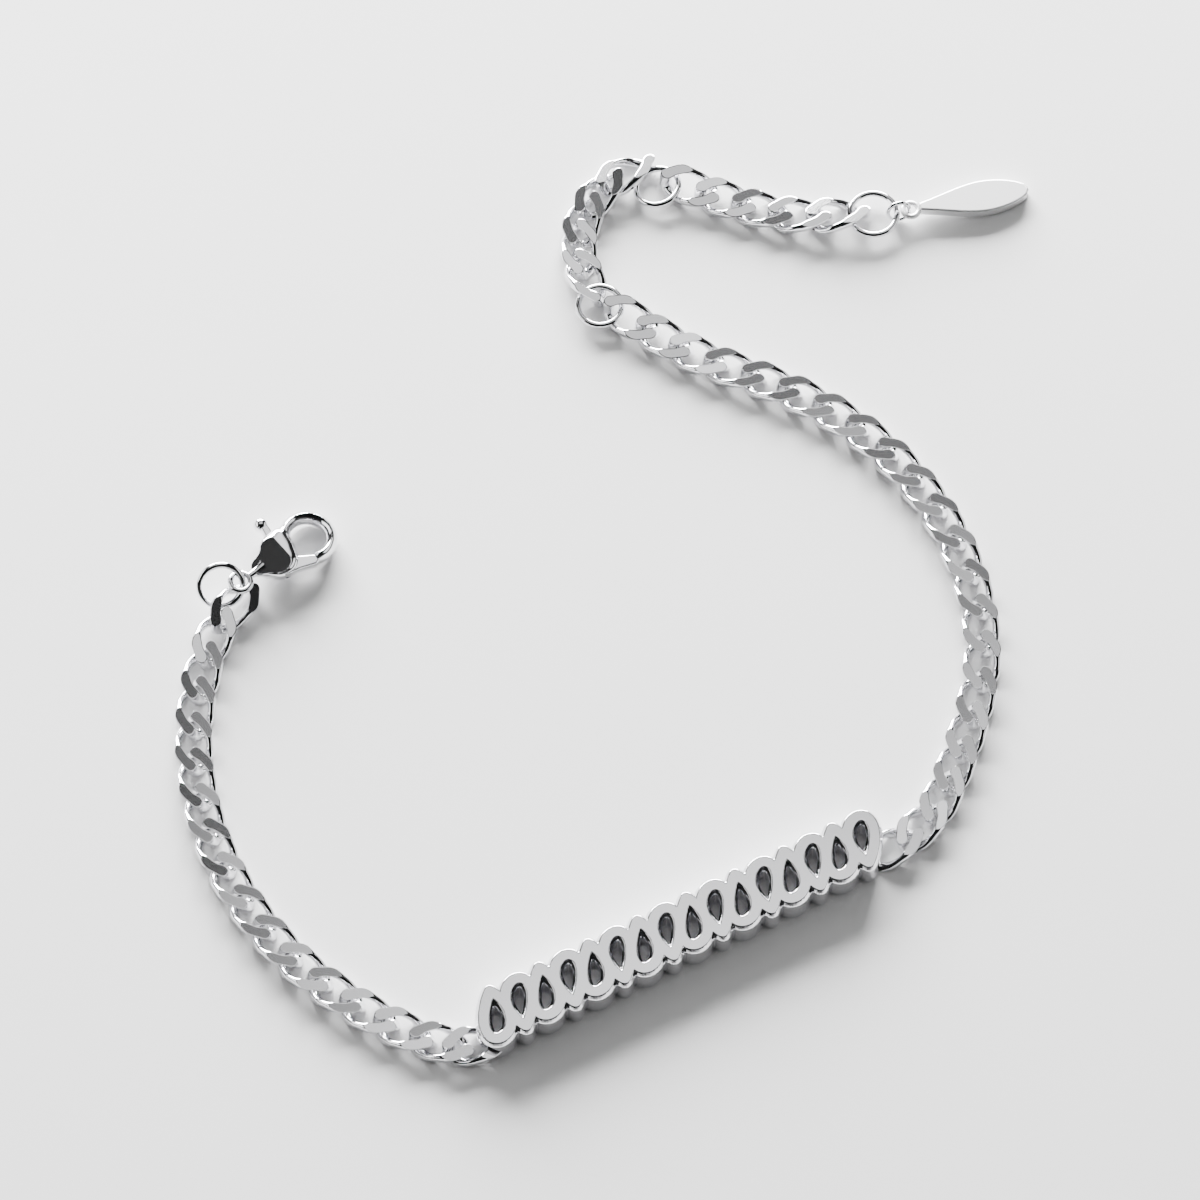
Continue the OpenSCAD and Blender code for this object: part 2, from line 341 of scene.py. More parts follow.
def inside_line(px, py, line):
    """Whether every grid point is inside a closed line of points."""
    inside = np.zeros(px.shape, bool)
    for (ax, ay), (bx, by) in zip(line, line[1:] + line[:1]):
        if ay != by:
            inside ^= ((ay > py) != (by > py)) & (px < (bx - ax) * (py - ay) / (by - ay) + ax)
    return inside


def signed_distance(px, py, line):
    """Distance to a closed outline, below zero inside it."""
    away = distance_to_line(px, py, line + line[:1])
    return np.where(inside_line(px, py, line), -away, away)


def tube_faces(rings, sides, closed=True):
    """Quads of a tube, closed on itself or open at its ends."""
    faces = []
    for i in range(rings if closed else rings - 1):
        for k in range(sides):
            this, following, beside = i * sides, (i + 1) % rings * sides, (k + 1) % sides
            faces.append((this + k, following + k, following + beside, this + beside))
    return faces


def torus(radius, wire, rings=96, sides=20):
    points = [((radius + wire * math.cos(q)) * math.cos(t), (radius + wire * math.cos(q)) * math.sin(t),
               wire * math.sin(q))
              for t in (2 * math.pi * i / rings for i in range(rings))
              for q in (2 * math.pi * k / sides for k in range(sides))]
    return points, tube_faces(rings, sides)


def ball(radius, rings=24, sides=32):
    """A ball, closed at its two poles."""
    points = [(radius * math.sin(math.pi * i / rings) * math.cos(2 * math.pi * k / sides),
               radius * math.sin(math.pi * i / rings) * math.sin(2 * math.pi * k / sides),
               radius * math.cos(math.pi * i / rings)) for i in range(1, rings) for k in range(sides)]
    top, end = len(points), (rings - 2) * sides
    faces = tube_faces(rings - 1, sides, closed=False)
    faces += [(top, k, (k + 1) % sides) for k in range(sides)]
    faces += [(top + 1, end + (k + 1) % sides, end + k) for k in range(sides)]
    return points + [(0, 0, radius), (0, 0, -radius)], faces


def moved(part, matrix, at):
    """A part turned about the origin and then shifted."""
    points, faces = part
    return np.asarray(points, float) @ matrix.T + np.asarray(at, float), faces


# Materials. Noise scales are per metre, and relief depths are in metres.

# Each polished finish: its roughness beside the metal's own, the strength of its hairline wear, the share of
# the tint that is left where it stands upright (painted shade on upright faces), and the strength of the
# cutting lines there.
POLISHES = {
    "polished_chain": (1.0, 0.008, 0.12, 0.0),
    "polished_plate": (1.3, 0.02, 0.32, 0.5),
    "polished_wire": (1.0, 0.008, 0.12, 0.0),
    "polished_clasp": (1.4, 0.02, 0.15, 0.0),
}
# Share of the satin tag's tint left where it doesn't look up: painted shade.
SATIN_PAINTED_SHADE = 0.03


def noise(nodes, links, vector, scale, detail=2.0):
    node = nodes.new("ShaderNodeTexNoise")
    node.inputs["Scale"].default_value = scale
    node.inputs["Detail"].default_value = detail
    links.new(vector, node.inputs["Vector"])
    return node.outputs["Fac"]


def relief_node(nodes, links, height, depth, strength=1.0):
    """A bump node with a relief of this depth."""
    node = nodes.new("ShaderNodeBump")
    node.inputs["Strength"].default_value = strength
    node.inputs["Distance"].default_value = depth
    links.new(height, node.inputs["Height"])
    return node


def bare_metal(name, tint, side):
    """A smooth metal with painted shade where it doesn't look up; its nodes, links and shader, and the place
    that its patterns follow.
    """
    material = bpy.data.materials.new(name)
    material.use_nodes = True
    nodes, links = material.node_tree.nodes, material.node_tree.links
    shader = nodes["Principled BSDF"]
    shader.inputs["Base Color"].default_value = (*tint, 1)
    shader.inputs["Metallic"].default_value = 1.0
    # Painted shade: the base colour is darker by the share side where the surface doesn't look up.
    links.new(painted_side_shade(nodes, links, tint, side), shader.inputs["Base Color"])
    return material, nodes, links, shader, nodes.new("ShaderNodeTexCoord").outputs["Object"]


def polished_metal(name, tint, roughness, wear, side, wall_lines):
    """Polished white metal: a little cloudy, with hairline wear, painted shade where it doesn't look up and,
    on upright walls, cutting lines.
    """
    material, nodes, links, shader, place = bare_metal(name, tint, side)
    spread = nodes.new("ShaderNodeMapRange")
    spread.inputs["To Min"].default_value = roughness * 0.7
    spread.inputs["To Max"].default_value = roughness * 1.5
    links.new(noise(nodes, links, place, 900, detail=3.0), spread.inputs["Value"])
    links.new(spread.outputs["Result"], shader.inputs["Roughness"])
    hair = relief_node(nodes, links, noise(nodes, links, place, 6000), 0.00001, wear)
    if wall_lines:
        links.new(upright_lines(nodes, links, place, wall_lines), hair.inputs["Normal"])
    links.new(hair.outputs["Normal"], shader.inputs["Normal"])
    return material


def painted_side_shade(nodes, links, tint, darker):
    """Painted shade: the tint where the surface looks up, and a darker grey where it stands upright or looks
    down.
    """
    facing = nodes.new("ShaderNodeNewGeometry")
    parts = nodes.new("ShaderNodeSeparateXYZ")
    shade = nodes.new("ShaderNodeValToRGB")
    shade.color_ramp.interpolation = "EASE"
    side, top = shade.color_ramp.elements
    side.position, side.color = 0.1, (*(darker * part for part in tint), 1)
    top.position, top.color = 0.6, (*tint, 1)
    links.new(facing.outputs["Normal"], parts.inputs["Vector"])
    links.new(parts.outputs["Z"], shade.inputs["Fac"])
    return shade.outputs["Color"]


def upright_lines(nodes, links, place, strength):
    """Normals with fine upright lines on walls, fading to none on level faces."""
    stretch = nodes.new("ShaderNodeMapping")
    stretch.inputs["Scale"].default_value = (1, 1, 0.03)
    facing = nodes.new("ShaderNodeNewGeometry")
    parts = nodes.new("ShaderNodeSeparateXYZ")
    upright = nodes.new("ShaderNodeMapRange")
    upright.inputs["From Max"].default_value = 0.6
    upright.inputs["To Min"].default_value = strength
    upright.inputs["To Max"].default_value = 0.0
    links.new(place, stretch.inputs["Vector"])
    links.new(facing.outputs["True Normal"], parts.inputs["Vector"])
    links.new(compute(nodes, links, "ABSOLUTE", parts.outputs["Z"]), upright.inputs["Value"])
    lines = relief_node(nodes, links, noise(nodes, links, stretch.outputs["Vector"], 3500), 0.00004)
    links.new(upright.outputs["Result"], lines.inputs["Strength"])
    return lines.outputs["Normal"]


def satin_metal(name, tint, roughness, heading):
    """Satin face: fine brushing along the leaf, and painted shade where it doesn't look up."""
    material, nodes, links, shader, place = bare_metal(name, tint, SATIN_PAINTED_SHADE)
    shader.inputs["Roughness"].default_value = roughness
    turn = nodes.new("ShaderNodeMapping")
    turn.inputs["Rotation"].default_value = (0, 0, -heading)
    turn.inputs["Scale"].default_value = (0.08, 1, 1)
    links.new(place, turn.inputs["Vector"])
    brush = relief_node(nodes, links, noise(nodes, links, turn.outputs["Vector"], 14000), 0.00002, 0.12)
    links.new(brush.outputs["Normal"], shader.inputs["Normal"])
    return material


def finish(name):
    """The named finish, made once."""
    if name in bpy.data.materials:
        return bpy.data.materials[name]
    settings = bpy.context.scene.bracelet_finish
    if name in POLISHES:
        # side is the share of the tint left on upright faces: painted shade.
        gloss, wear, side, lines = POLISHES[name]
        return polished_metal(name, settings.metal, settings.polish * gloss, wear, side, lines)
    return satin_metal(name, settings.tag_metal, settings.satin, bpy.context.scene.bracelet_tag.heading)


# The curb link and its runs.

def link_line(sizes, t):
    """A point of the link's centre line: a squarish oval, twisted about its length."""
    fold = -sizes.twist * math.cos(t)
    along = mm(sizes.half_length) * math.copysign(abs(math.cos(t)) ** sizes.square_ends, math.cos(t))
    reach = mm(sizes.half_width) * math.copysign(abs(math.sin(t)) ** sizes.square_sides, math.sin(t))
    return np.array([along, reach * math.cos(fold), reach * math.sin(fold)])


def link_tube(sizes, rings, sides):
    """Points of the wire round the link's centre line."""
    points, nearby = [], 0.035
    for i in range(rings):
        t = 2 * math.pi * i / rings
        along = link_line(sizes, t + nearby) - link_line(sizes, t - nearby)
        along /= np.linalg.norm(along)
        fold = -sizes.twist * math.cos(t)
        side = np.cross(along, [0, -math.sin(fold), math.cos(fold)])
        side /= np.linalg.norm(side)
        over = np.cross(side, along)
        stout = mm(sizes.wire_in) + mm(sizes.wire_end - sizes.wire_in) * abs(math.cos(t))
        for k in range(sides):
            w = 2 * math.pi * (k + 0.5) / sides
            points.append(link_line(sizes, t) + stout * math.cos(w) * side
                          + mm(sizes.wire_across) * math.sin(w) * over)
    return np.array(points)


def link_shell(sizes):
    """One link with four flat faces cut on it, two above and two below."""
    work = bmesh.new()
    corners = [work.verts.new(p) for p in link_tube(sizes, sizes.rings, sizes.sides)]
    for face in tube_faces(sizes.rings, sizes.sides):
        work.faces.new([corners[i] for i in face])
    height, lean, flats = mm(sizes.cut_height), sizes.cut_lean, []
    # How far off the link's axis a flat has its full height, and how near the middle plane nothing is cut.
    middle, clear = 0.75, 0.1
    for end in (1, -1):
        for up in (1, -1):
            out = -end * up
            near = [f for f in work.faces if f.calc_center_median().x * end > 0
                    and f.calc_center_median().z * up > clear]
            part = list({e for f in near for e in f.edges}) + list({v for f in near for v in f.verts}) + near
            normal = (0, out * math.sin(lean), up * math.cos(lean))
            cut = bmesh.ops.bisect_plane(work, geom=part, plane_co=(0, out * middle, up * height),
                                         plane_no=normal, clear_outer=True)
            edges = [g for g in cut["geom_cut"] if isinstance(g, bmesh.types.BMEdge)]
            flats.extend(bmesh.ops.holes_fill(work, edges=edges)["faces"])
    bmesh.ops.recalc_face_normals(work, faces=work.faces)
    for flat in flats:
        inner = bmesh.ops.inset_region(work, faces=[flat], thickness=mm(sizes.cut_edge), depth=0)
        for vert in {v for face in inner["faces"] for v in face.verts} - set(flat.verts):
            vert.co.z -= math.copysign(mm(sizes.cut_edge) * CUT_EDGE_SLOPE, vert.co.z)
    work.verts.index_update()
    points = np.array([v.co[:] for v in work.verts])
    faces = [tuple(v.index for v in f.verts) for f in work.faces]
    work.free()
    return points, faces


def way(degrees):
    return np.array([math.cos(math.radians(degrees)), math.sin(math.radians(degrees))])


def stepped(spot, step):
    """The spot a step of (length, direction) away."""
    return spot + step[0] * way(step[1])


def run_spots(start, route, pitch):
    """Places and headings of the links of a run."""
    spots, headings = [np.array(start, float)], [route["heading"]]
    for i, turn in enumerate(route["turns"]):
        step = route["slack"][i] if i < len(route["slack"]) else pitch
        spots.append(stepped(spots[-1], (route["sense"] * step, headings[-1] + turn / 2)))
        headings.append(headings[-1] + turn)
    return spots, headings


def link_turn(heading, pitch, roll):
    return rotation("z", heading) @ rotation("y", -pitch) @ rotation("x", roll)


def resting_height(tube, pitch, roll):
    """Height of a link's middle when the link rests on the surface."""
    return -(tube @ link_turn(0, pitch, roll).T)[:, 2].min()


def run_poses(tube, start, route, pitch):
    """(place, heading, pitch, roll) of each link of a run that rests on the surface."""
    spots, headings = run_spots(start, route, pitch)
    level = [resting_height(tube, 0, roll) for roll in route["rolls"]]
    poses = []
    for i, spot in enumerate(spots):
        a, b = max(i - 1, 0), min(i + 1, len(spots) - 1)
        rise = math.degrees(math.atan2(level[b] - level[a], np.linalg.norm(spots[b] - spots[a])))
        poses.append((spot, headings[i], route["sense"] * rise, route["rolls"][i]))
    return poses


def on_plate(u, v):
    """The spot u along and v across the plate's band."""
    turn = math.degrees(bpy.context.scene.bracelet_plate.turn)
    return (rotation("z", turn) @ np.array([u, v, 0]))[:2]


def layout():
    """The poses of all runs and the places of the rings, worked out from the plate outwards."""
    sizes, plate = bpy.context.scene.bracelet_chain, bpy.context.scene.bracelet_plate
    tube = link_tube(sizes, 16, 6)
    tube[:, 2] = np.clip(tube[:, 2], -mm(sizes.cut_height), mm(sizes.cut_height))
    pitch, half, drop = mm(sizes.pitch), mm(plate.span) / 2, mm(plate.loop_drop)
    long_run = run_poses(tube, on_plate(half, drop), LONG_RUN, pitch)
    short_run = run_poses(tube, on_plate(-half, drop), SHORT_RUN, pitch)
    spot, heading, _, roll = short_run[-1]
    short_run[-1] = (spot, heading, EYE_DIP, roll)
    ring_1 = stepped(long_run[-1][0], TO_RING_1)
    low_run = run_poses(tube, stepped(ring_1, TO_LOW_RUN), LOW_RUN, pitch)
    ring_2 = stepped(low_run[-1][0], TO_RING_2)
    high_run = run_poses(tube, stepped(ring_2, TO_HIGH_RUN), HIGH_RUN, pitch)
    ring_3 = stepped(high_run[-1][0], TO_RING_3)
    return {"tube": tube, "long": long_run, "short": short_run, "low": low_run, "high": high_run,
            "ring_1": ring_1, "ring_2": ring_2, "ring_3": ring_3}


def placed_links(shell, tube, poses):
    """A run of links, each leaning a little its own way, as loose links do."""
    wobble = math.degrees(bpy.context.scene.bracelet_chain.wobble)
    parts = []
    for i, (spot, heading, pitch, roll) in enumerate(poses):
        pitch += wobble * math.sin(PITCH_WAVE * i + 1) * PITCH_SHARE
        roll += wobble * math.sin(ROLL_WAVE * i + spot[0])
        height = max(resting_height(points, pitch, roll) for points in (tube, shell[0]))
        parts.append(moved(shell, link_turn(heading, pitch, roll), (*spot, height)))
    return joined(parts)


class BRACELET_OT_chains(bpy.types.Operator):
    """Make the two chain runs and the two extender runs"""
    bl_idname = "bracelet.chains"
    bl_label = "Chains"

    def execute(self, context):
        plan = layout()
        shell = link_shell(context.scene.bracelet_chain)
        runs = {
            "chain_long_side": plan["long"][1:],
            "chain_clasp_side": plan["short"][1:],
            "extender_chain_lower": plan["low"],
            "extender_chain_upper": plan["high"],
        }
        for node, poses in runs.items():
            points, faces = placed_links(shell, plan["tube"], poses)
            new_piece("links_" + node, points, faces, finish("polished_chain"), "polished_chain", [node])
        return {"FINISHED"}


# The pierced plate.

# How far a drop leans, and how sharply its sides narrow to the point.
DROP_LEAN = 0.25
DROP_POINT = 0.8
# The bevel with its soft edges: shares of its width, and how much of its height is lost there.
BEVEL_SHARES = (0, 0.14, 0.24, 0.86, 0.95, 1)
BEVEL_DROPS = (0, 0.02, 0.08, 0.78, 0.9, 1)
# A field value that lies outside every outline, and one that lies inside.
OUTSIDE = 9.0
INSIDE = -9
# Room round the band's grid, along and across it, and how far from a drop its line is measured.
BAND_ROOM = (1, 0.3)
DROP_ROOM = 1.2


def drop_outline(sizes, i, steps=72):
    """Outline of one leaning drop-shaped eyelet, point up on even ones."""
    u = (i - (sizes.drop_count - 1) / 2) * mm(sizes.drop_step)
    s = 1 if i % 2 == 0 else -1
    line = []
    for k in range(steps):
        t = 2 * math.pi * k / steps
        x = s * mm(sizes.drop_half) * math.sin(t) * abs(math.sin(t / 2)) ** DROP_POINT
        y = s * mm(sizes.drop_reach) * math.cos(t)
        line.append((u + x + DROP_LEAN * y, y))
    return line


class BRACELET_OT_plate(bpy.types.Operator):
    """Make the pierced plate with the loop soldered to each end"""
    bl_idname = "bracelet.plate"
    bl_label = "Plate"

    def execute(self, context):
        sizes = context.scene.bracelet_plate
        cell, stroke = mm(sizes.cell), mm(sizes.stroke_half)
        reach_u = mm(sizes.span) / 2 + BAND_ROOM[0]
        reach_v = mm(sizes.drop_reach) + stroke + BAND_ROOM[1]
        xs = np.arange(-reach_u, reach_u, cell)
        ys = np.arange(-reach_v, reach_v, cell)
        px, py = np.meshgrid(xs, ys, indexing="ij")
        field = np.full(px.shape, OUTSIDE)
        for i in range(sizes.drop_count):
            line = drop_outline(sizes, i)
            middle = sum(p[0] for p in line) / len(line)
            near = np.abs(xs - middle) < mm(sizes.drop_half) + stroke + DROP_ROOM
            field[near] = np.minimum(field[near], distance_to_line(px[near], py[near], line + line[:1]))
        flat = stroke - mm(sizes.bevel_width)
        top, fall = mm(sizes.thickness), mm(sizes.bevel_height)
        rounds = [flat + (stroke - flat) * share for share in BEVEL_SHARES]
        points, faces, rim = relief(xs, ys, field, [INSIDE] + rounds)
        height = top - fall * np.interp((points[:, 2] - flat) / (stroke - flat), BEVEL_SHARES, BEVEL_DROPS)
        turn = rotation("z", math.degrees(sizes.turn))
        band = moved(walled(points, faces, rim, height, 0), turn, (0, 0, 0))
        plan = layout()
        shell = link_shell(context.scene.bracelet_chain)
        loops = placed_links(shell, plan["tube"], [plan["long"][0], plan["short"][0]])
        new_piece("pierced_plate", *band, finish("polished_plate"), "polished_plate", ["nameplate"])
        new_piece("plate_end_loops", *loops, finish("polished_chain"), "polished_plate", ["nameplate"])
        return {"FINISHED"}


# The jump rings: heights of their middles where they lie on the links, heading and lean of those that
# aren't level, and the place of the one at the clasp.
RING_1_HEIGHT = 0.93
RING_2_HEIGHT = 0.687
RING_2_LEAN = (-26.1, -12)
RING_3_HEIGHT = 0.88
CLASP_RING_AT = (-38.04, 31.16, 1.905)
CLASP_RING_LEAN = (-77.5, 46.8)
TAG_RING_HEIGHT = 1.1
TAG_RING_LEAN = 70


def leaning(heading, lean):
    return rotation("z", heading) @ rotation("y", lean)


class BRACELET_OT_rings(bpy.types.Operator):
    """Make the round jump rings"""
    bl_idname = "bracelet.rings"
    bl_label = "Jump rings"

    def execute(self, context):
        sizes, plan = context.scene.bracelet_ring, layout()
        wire, tag_place = mm(sizes.wire), tag_layout(plan)
        tag_at = (*tag_place["ring"], TAG_RING_HEIGHT)
        tag_turn = rotation("z", tag_place["heading"]) @ rotation("x", TAG_RING_LEAN)
        rings = {
            "extender_ring_1": (sizes.radius, wire, (*plan["ring_1"], RING_1_HEIGHT), leaning(0, 0)),
            "extender_ring_2": (sizes.radius, wire, (*plan["ring_2"], RING_2_HEIGHT), leaning(*RING_2_LEAN)),
            "extender_ring_3": (sizes.end_radius, wire, (*plan["ring_3"], RING_3_HEIGHT), leaning(0, 0)),
            "clasp_jump_ring": (sizes.clasp_radius, wire, CLASP_RING_AT, leaning(*CLASP_RING_LEAN)),
            "tag_ring": (sizes.tag_radius, mm(sizes.tag_wire), tag_at, tag_turn),
        }
        for node, (radius, thick, at, turn) in rings.items():
            points, faces = moved(torus(mm(radius), thick), turn, at)
            new_piece("wire_" + node, points, faces, finish("polished_wire"), "polished_wire", [node])
        return {"FINISHED"}


# The lobster clasp: its own frame has the eye at the origin and the hook along X.

CLASP_AT = (-36.42, 31.5, 1.9)
# Centre line radius and wire radius of the eye.
EYE = (0.84, 0.27)
# The neck's sections: place along X and radius.
NECK = [(0.95, 0.3), (1.2, 0.34), (1.5, 0.36), (1.9, 0.46), (2.4, 0.62)]
# The body's middle line: x, y and radius, and the round that fills out its side.
BODY_LINE = [(2.1, 0.1, 0.75), (3.85, -0.3, 1.75), (5.15, 1.25, 0.95)]
BODY_ROUND = (4.25, 0.5, 1.6)
# How wide the body melts into that round and into the hook.
BODY_MELT = 0.3
HOOK_MELT = 0.35
# Levels at which the body's round edge is cut, and the least half thickness that its flat leaves.
BODY_LEVELS = [-0.6, -0.42, -0.28, -0.17, -0.09, -0.035, -0.008, 0]
BODY_LEAST = 0.1
HOOK_AT = (7.1, -0.1)
# Directions from the hook's middle to the ends of its bar.
HOOK_TIP = -100
HOOK_ROOT = 128
# The lever's outline, the round at its pivot, its tab, how wide that melts in, and the knob on it.
LEVER_PLAN = [(3.5, -1.3), (4.4, 2.6), (4.5, 3.2), (5.2, 3.2), (5.1, 2.4), (4.7, 0.4), (5.25, -1.05),
              (6.4, -1.75), (6.52, -2.05), (6.45, -2.45), (6.1, -2.6), (4.7, -2.15), (3.9, -1.98)]
PIVOT_AT = (3.9, -1.4)
PIVOT_ROUND = 0.6
TAB_AT = (4.8, 3.25)
TAB_ROUND = 0.5
TAB_MELT = 0.15
KNOB_RADIUS = 0.62
# Fineness of the lever's mesh.
LEVER_CELL = 0.05
# The lever's round edge: its width, the levels it is cut at, and the half thickness left at the wall.
LEVER_EDGE = 0.16
LEVER_LEVELS = [-0.09, -0.04, -0.01, 0]
LEVER_WALL = 0.62
# The space that the lever needs through its travel.
SLOT_PLAN = [(3.7, -2.4), (6.1, -2.7), (6.1, -0.9), (5.25, -0.3), (5.45, 2.0), (5.4, 3.6), (2.8, 3.6),
             (2.95, 1.5), (3.15, -1.0), (3.25, -1.9)]


def clasp_turn():
    sizes = bpy.context.scene.bracelet_clasp
    return rotation("z", math.degrees(sizes.heading)) @ rotation("y", math.degrees(sizes.drop))


def blob(px, py, a, b, steps=48):
    """Signed distance to a bar whose radius changes from one end to the other."""
    best = np.full(px.shape, FAR)
    for k in range(steps + 1):
        t = k / steps
        x, y, r = (a[n] + t * (b[n] - a[n]) for n in range(3))
        best = np.minimum(best, np.hypot(px - x, py - y) - r)
    return best


def melt(a, b, k):
    """Smooth union of two signed distances."""
    h = np.clip(0.5 + 0.5 * (b - a) / k, 0, 1)
    return b + (a - b) * h - k * h * (1 - h)


def round_field(px, py, x, y, radius):
    """Signed distance to a circle."""
    return np.hypot(px - x, py - y) - radius


def clasp_silhouette(px, py, sizes):
    """Signed distance to the body with its hook, seen from above."""
    body = np.minimum(*(blob(px, py, a, b) for a, b in zip(BODY_LINE, BODY_LINE[1:])))
    body = melt(body, round_field(px, py, *BODY_ROUND), BODY_MELT)
    radius, half = mm(sizes.hook_radius), mm(sizes.hook_half)
    turn = np.degrees(np.arctan2(py - HOOK_AT[1], px - HOOK_AT[0]))
    bar = np.abs(round_field(px, py, *HOOK_AT, radius)) - half
    ends = [np.array(HOOK_AT) + radius * way(direction) for direction in (HOOK_TIP, HOOK_ROOT)]
    caps = np.minimum(*(round_field(px, py, *end, half) for end in ends))
    return melt(body, np.where((turn > HOOK_TIP) & (turn < HOOK_ROOT), bar, caps), HOOK_MELT)


def prism(outline, half):
    """A closed upright prism on an outline, from -half to half."""
    n = len(outline)
    points = [(x, y, z) for z in (-half, half) for x, y in outline]
    sides = [(i, (i + 1) % n, (i + 1) % n + n, i + n) for i in range(n)]
    return points, sides + [tuple(reversed(range(n))), tuple(range(n, 2 * n))]


def without(part, tool):
    """The part with the tool's shape taken out of it."""
    made = []
    for points, faces in (part, tool):
        mesh = bpy.data.meshes.new("work")
        mesh.from_pydata(np.asarray(points, float).tolist(), [], faces)
        made.append(bpy.data.objects.new("work", mesh))
        bpy.context.scene.collection.objects.link(made[-1])
    cut = made[0].modifiers.new("cut", "BOOLEAN")
    cut.operation = "DIFFERENCE"
    cut.solver = "EXACT"
    cut.object = made[1]
    result = bpy.data.meshes.new_from_object(made[0].evaluated_get(bpy.context.evaluated_depsgraph_get()))
    points = np.array([v.co[:] for v in result.vertices])
    faces = [tuple(face.vertices) for face in result.polygons]
    for piece in made:
        bpy.data.meshes.remove(piece.data)
    bpy.data.meshes.remove(result)
    return points, faces


class BRACELET_OT_clasp(bpy.types.Operator):
    """Make the clasp's body with its hook, neck and eye, and the lever"""
    bl_idname = "bracelet.clasp"
    bl_label = "Clasp"

    def execute(self, context):
        sizes = context.scene.bracelet_clasp
        cell, half, over = mm(sizes.cell), mm(sizes.half), mm(sizes.round_over)
        xs = np.arange(0.9, 9.9, cell)
        ys = np.arange(-3.2, 3.2, cell)
        px, py = np.meshgrid(xs, ys, indexing="ij")
        field = clasp_silhouette(px, py, sizes)

        def height(f):
            return half * np.sqrt(1 - (1 - np.clip(-f / over, 0, 1)) ** 2)

        points, faces, _ = relief(xs, ys, field, [INSIDE, -over] + BODY_LEVELS)
        points, faces = pillow(points, faces, height)
        flat = half - (mm(sizes.facet_end) - points[:, 0]) * math.tan(sizes.facet_tilt)
        points[:, 2] = np.clip(points[:, 2], np.minimum(-flat, -BODY_LEAST), np.maximum(flat, BODY_LEAST))
        casting = without((points, faces), prism(SLOT_PLAN, mm(sizes.slot_half)))
        points, faces = moved(joined([casting, torus(*EYE), neck_shape()]), clasp_turn(), CLASP_AT)
        new_piece("clasp_casting", points, faces, finish("polished_clasp"), "polished_clasp", ["clasp_body"])
        self.make_lever(context)
        return {"FINISHED"}

    def make_lever(self, context):
        sizes = context.scene.bracelet_clasp
        half = mm(sizes.lever_half)
        xs = np.arange(3.0, 6.9, LEVER_CELL)
        ys = np.arange(-3, 4, LEVER_CELL)
        px, py = np.meshgrid(xs, ys, indexing="ij")
        bar = np.minimum(signed_distance(px, py, LEVER_PLAN), round_field(px, py, *PIVOT_AT, PIVOT_ROUND))
        field = melt(bar, round_field(px, py, *TAB_AT, TAB_ROUND), TAB_MELT)
        points, faces, rim = relief(xs, ys, field, [INSIDE, -LEVER_EDGE] + LEVER_LEVELS)
        swell = np.sqrt(1 - (1 - np.clip(-points[:, 2] / LEVER_EDGE, 0, 1)) ** 2)
        height = half * (LEVER_WALL + (1 - LEVER_WALL) * swell)
        lever = walled(points, faces, rim, height, -height)
        knob = moved(ball(KNOB_RADIUS), np.eye(3), (*TAB_AT, 0))
        points, faces = moved(joined([lever, knob]), clasp_turn(), CLASP_AT)
        new_piece("clasp_gate", points, faces, finish("polished_clasp"), "polished_clasp", ["clasp_lever"],
                  body=LEVER_BODY)


def neck_shape():
    """The short tapered neck between the eye and the body."""
    sides = 24
    points = [(x, r * math.cos(2 * math.pi * k / sides), r * math.sin(2 * math.pi * k / sides))
              for x, r in NECK for k in range(sides)]
    caps = [tuple(reversed(range(sides))), tuple(range((len(NECK) - 1) * sides, len(NECK) * sides))]
    return points, tube_faces(len(NECK), sides, closed=False) + caps


# The tag.

# From the last ring to the tag's ring, and on to the middle of the tag's eye.
TO_TAG_RING = (2.15, 0.15)
TO_TAG_EYE = 1.06
# Height of the eye's middle, its centre line radius and wire radius, and where the leaf starts.
TAG_HEIGHT = 0.95
TAG_EYE = (0.66, 0.24)
LEAF_START = 0.75
# Half widths of the leaf at its neck, at its widest and at its point, and how much its edge falls.
LEAF_NECK = 0.34
LEAF_HALF = 1.5
LEAF_POINT = 0.05
LEAF_FALL = 0.12


def tag_layout(plan):
    heading = math.degrees(bpy.context.scene.bracelet_tag.heading)
    ring = plan["ring_3"] + np.array(TO_TAG_RING)
    return {"heading": heading, "ring": ring, "eye": stepped(ring, (TO_TAG_EYE, heading))}


def tag_half(s):
    """Half width of the leaf at a share s of its length, blunter toward the point."""
    blunt = np.interp(s, (0.6, 1), (0.7, 0.45))
    swell = max(math.sin(math.pi * s ** 1.25), 0) ** blunt
    return max(LEAF_NECK * (1 - s) + LEAF_HALF * swell * (1 - 0.5 * (1 - s) ** 2), LEAF_POINT)


class BRACELET_OT_tag(bpy.types.Operator):
    """Make the pointed end tag with its eye"""
    bl_idname = "bracelet.tag"
    bl_label = "Tag"

    def execute(self, context):
        sizes = context.scene.bracelet_tag
        reach, thick, edge = mm(sizes.reach), mm(sizes.thickness), mm(sizes.edge)
        shares = [k / 40 for k in range(41)]
        side = [(LEAF_START + (reach - LEAF_START) * s, tag_half(s)) for s in shares]
        outline = side + [(x, -y) for x, y in reversed(side)]
        cell = mm(sizes.cell)
        xs = np.arange(0.5, reach + 0.3, cell)
        ys = np.arange(-2, 2, cell)
        px, py = np.meshgrid(xs, ys, indexing="ij")
        field = signed_distance(px, py, outline)
        points, faces, rim = relief(xs, ys, field, [INSIDE, -edge, -edge * 0.6, -edge * 0.25, 0])
        height = thick / 2 - LEAF_FALL * np.clip(1 + points[:, 2] / edge, 0, 1) ** 2
        leaf = walled(points, faces, rim, height, -thick / 2)
        place = tag_layout(layout())
        turn = rotation("z", place["heading"]) @ rotation("y", math.degrees(sizes.drop))
        points, faces = moved(joined([leaf, torus(*TAG_EYE)]), turn, (*place["eye"], TAG_HEIGHT))
        new_piece("tag_leaf", points, faces, finish("satin_tag"), "satin_tag", ["tag"])
        return {"FINISHED"}


# The stage: camera, floor, lights and surround, in metres.

FLOOR_HALF = 2
